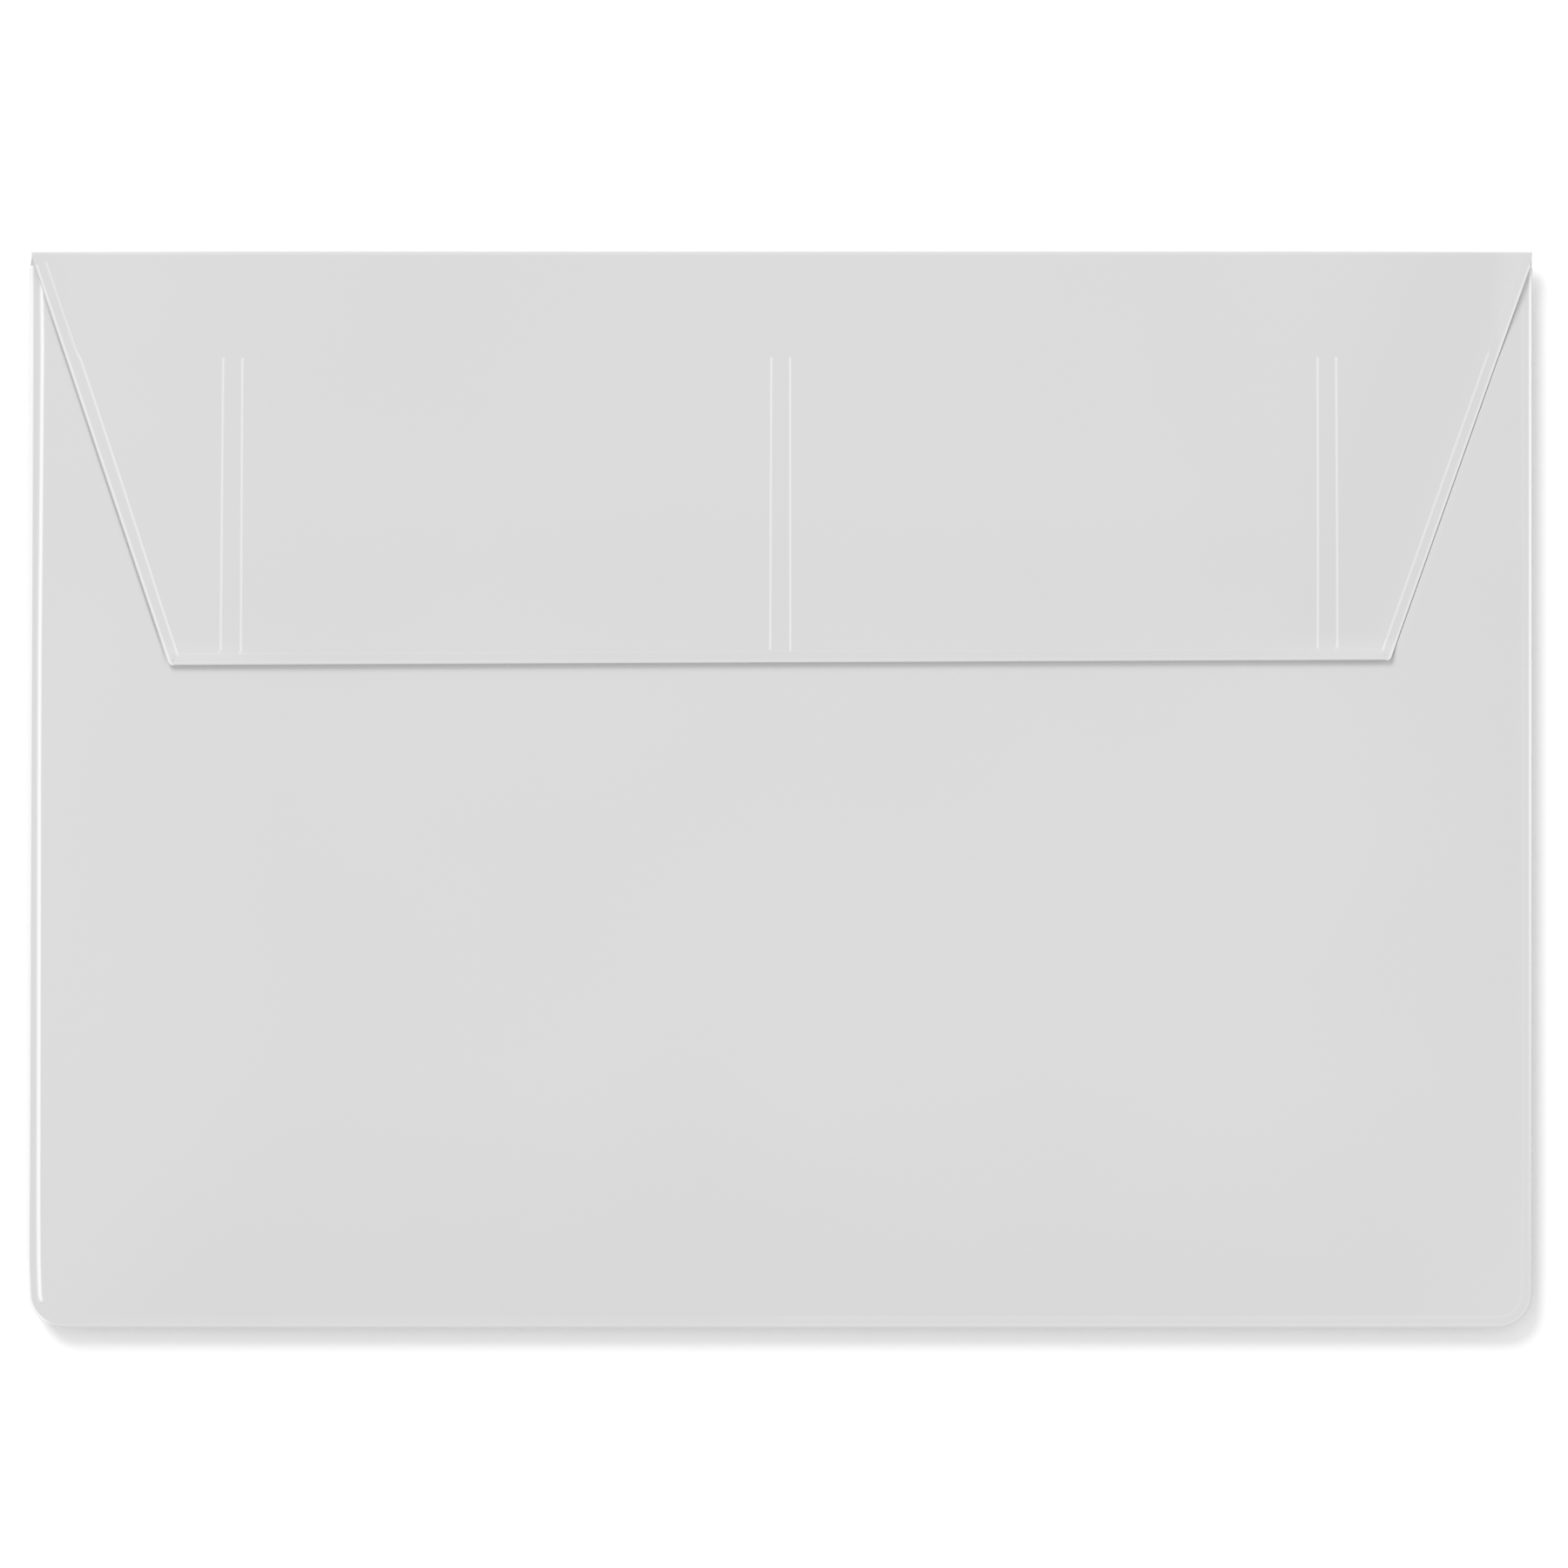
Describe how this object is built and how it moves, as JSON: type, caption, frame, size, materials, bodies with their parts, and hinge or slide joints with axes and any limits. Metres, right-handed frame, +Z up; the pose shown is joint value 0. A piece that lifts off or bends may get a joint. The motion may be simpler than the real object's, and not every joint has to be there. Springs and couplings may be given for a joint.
{
  "type": "owners manual pouch",
  "caption": "Flat heat-welded vinyl envelope pouch with a fold-over tapered flap that carries clear card pockets on its inner face.",
  "frame": {"origin": "under the middle of the closed pouch, on the surface that it lies on", "axes": "+X to the right along the fold, +Y from the bottom seam towards the fold, +Z up out of the front"},
  "size_m": [0.2572, 0.1842, 0.0077],
  "materials": {
    "grey_vinyl": "satin light grey vinyl sheet",
    "clear_vinyl": "clear vinyl sheet",
    "melted_vinyl": "smooth pressed weld"
  },
  "bodies": {
    "pouch": {"back_panel": "grey_vinyl", "front_panel": "grey_vinyl", "left_seam_weld": "melted_vinyl", "right_seam_weld": "melted_vinyl", "bottom_seam_weld": "melted_vinyl"},
    "flap": {"flap_panel": "grey_vinyl", "card_pocket_sheet": "clear_vinyl", "left_flap_edge_weld": "melted_vinyl", "right_flap_edge_weld": "melted_vinyl", "flap_end_weld": "melted_vinyl", "left_divider_weld_outer": "melted_vinyl", "left_divider_weld_inner": "melted_vinyl", "middle_divider_weld_left": "melted_vinyl", "middle_divider_weld_right": "melted_vinyl", "right_divider_weld_inner": "melted_vinyl", "right_divider_weld_outer": "melted_vinyl"}
  },
  "joints": [
    {"name": "flap_hinge", "type": "hinge", "parent": "pouch", "child": "flap", "pos_m": [0, 0.0921, 0.00382], "axis": [-1, 0, 0], "range_deg": [0, 180]}
  ]
}
